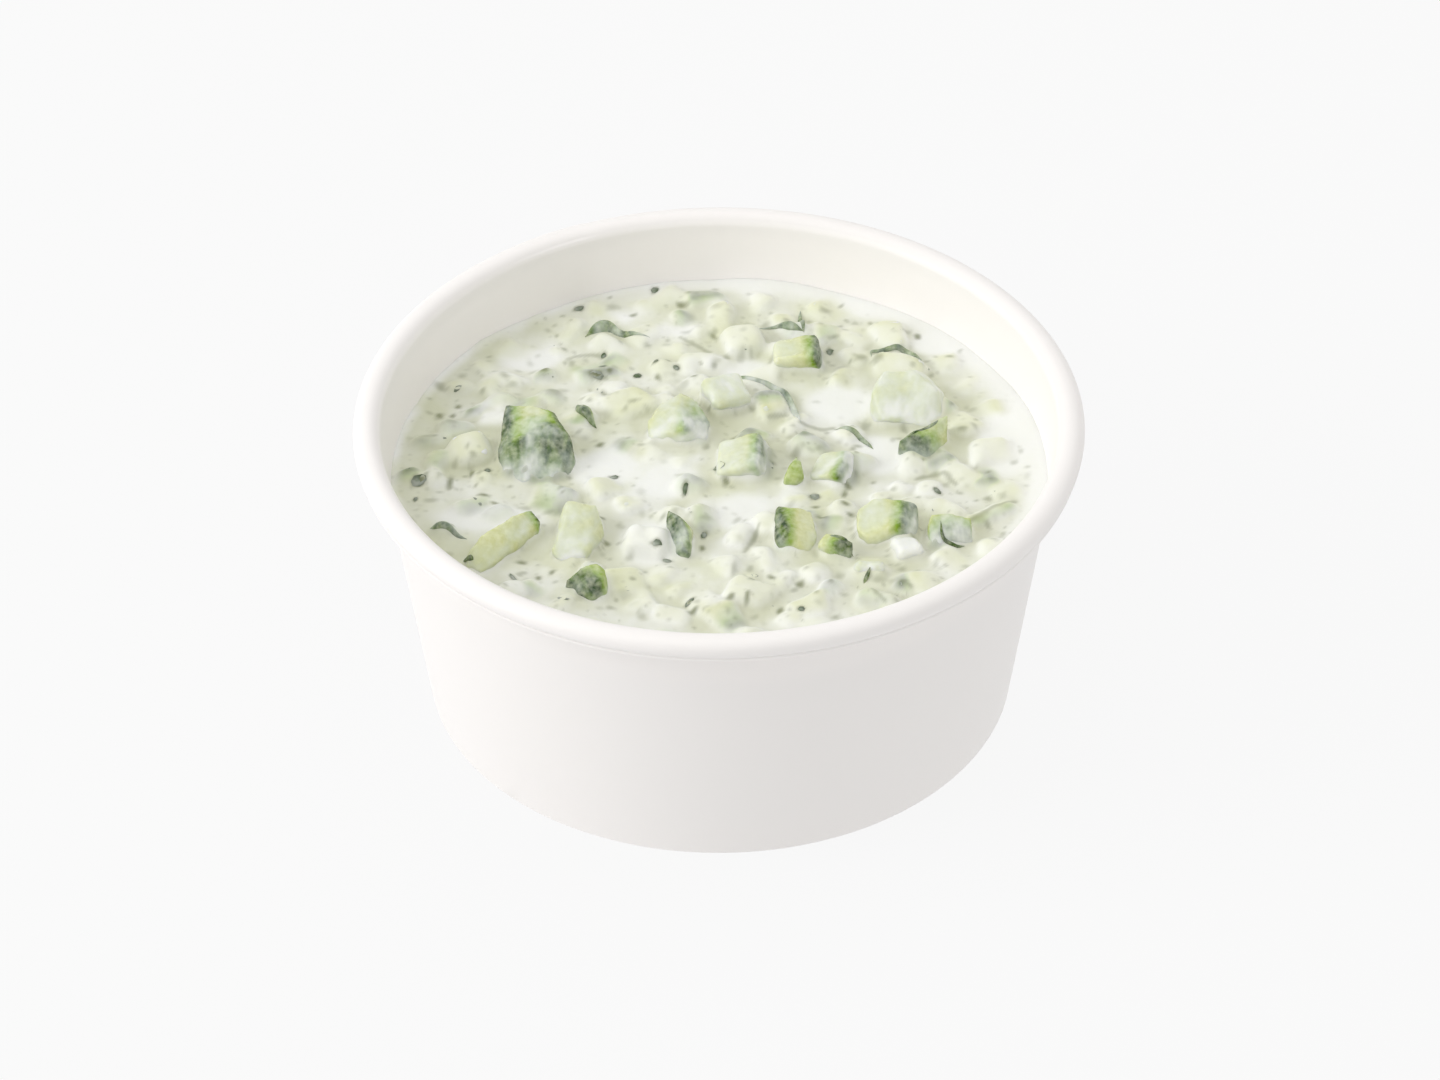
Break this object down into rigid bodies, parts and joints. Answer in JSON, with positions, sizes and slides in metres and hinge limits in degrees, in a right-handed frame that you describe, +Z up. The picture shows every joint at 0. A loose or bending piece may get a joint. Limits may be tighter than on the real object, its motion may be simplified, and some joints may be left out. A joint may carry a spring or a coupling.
{
  "type": "tzatziki dip in a paper bowl",
  "caption": "Yoghurt dip with diced cucumber and herb flecks, filled to below the rim of a round tapered paper bowl with a rolled rim.",
  "frame": {"origin": "centre of the bowl's underside, on the surface that it stands on", "axes": "+Z up through the bowl's mouth; the dip is shown as seen from -Y"},
  "size_m": [0.098, 0.098, 0.043],
  "materials": {
    "paper": "white coated board, satin",
    "cream": "wet thick yoghurt, soft gloss",
    "cucumber_flesh": "wet cut cucumber flesh",
    "cucumber_peel": "wet dark green cucumber peel"
  },
  "bodies": {
    "root": {"bowl_wall": "paper", "bowl_base": "paper", "dip": "cream", "cucumber_chunk_back_green": "cucumber_peel", "cucumber_chunk_back_pale": "cucumber_flesh", "cucumber_chunk_big_peel": "cucumber_peel", "cucumber_chunk_centre_clear": "cucumber_peel", "cucumber_chunk_centre_dome": "cucumber_flesh", "cucumber_chunk_centre_left": "cucumber_peel", "cucumber_chunk_centre_pale": "cucumber_peel", "cucumber_chunk_front_left": "cucumber_flesh", "cucumber_chunk_front_low": "cucumber_peel", "cucumber_chunk_front_peel": "cucumber_peel", "cucumber_chunk_front_right": "cucumber_peel", "cucumber_chunk_front_white": "cucumber_flesh", "cucumber_chunk_front_yellow": "cucumber_peel", "cucumber_chunk_left_pale": "cucumber_flesh", "cucumber_chunk_right_yellow": "cucumber_flesh", "cucumber_stick_front_left": "cucumber_peel", "cucumber_strip_back_left": "cucumber_peel", "cucumber_strip_back_peel": "cucumber_peel", "cucumber_strip_back_upright": "cucumber_peel", "cucumber_strip_centre_right": "cucumber_peel", "cucumber_strip_front_centre": "cucumber_peel", "cucumber_strip_long_peel": "cucumber_peel", "cucumber_strip_right_peel": "cucumber_peel", "cucumber_wedge_centre_green": "cucumber_peel", "cucumber_wedge_front_green": "cucumber_peel", "cucumber_wedge_near_green": "cucumber_peel", "cucumber_wedge_right_green": "cucumber_peel"}
  },
  "joints": []
}
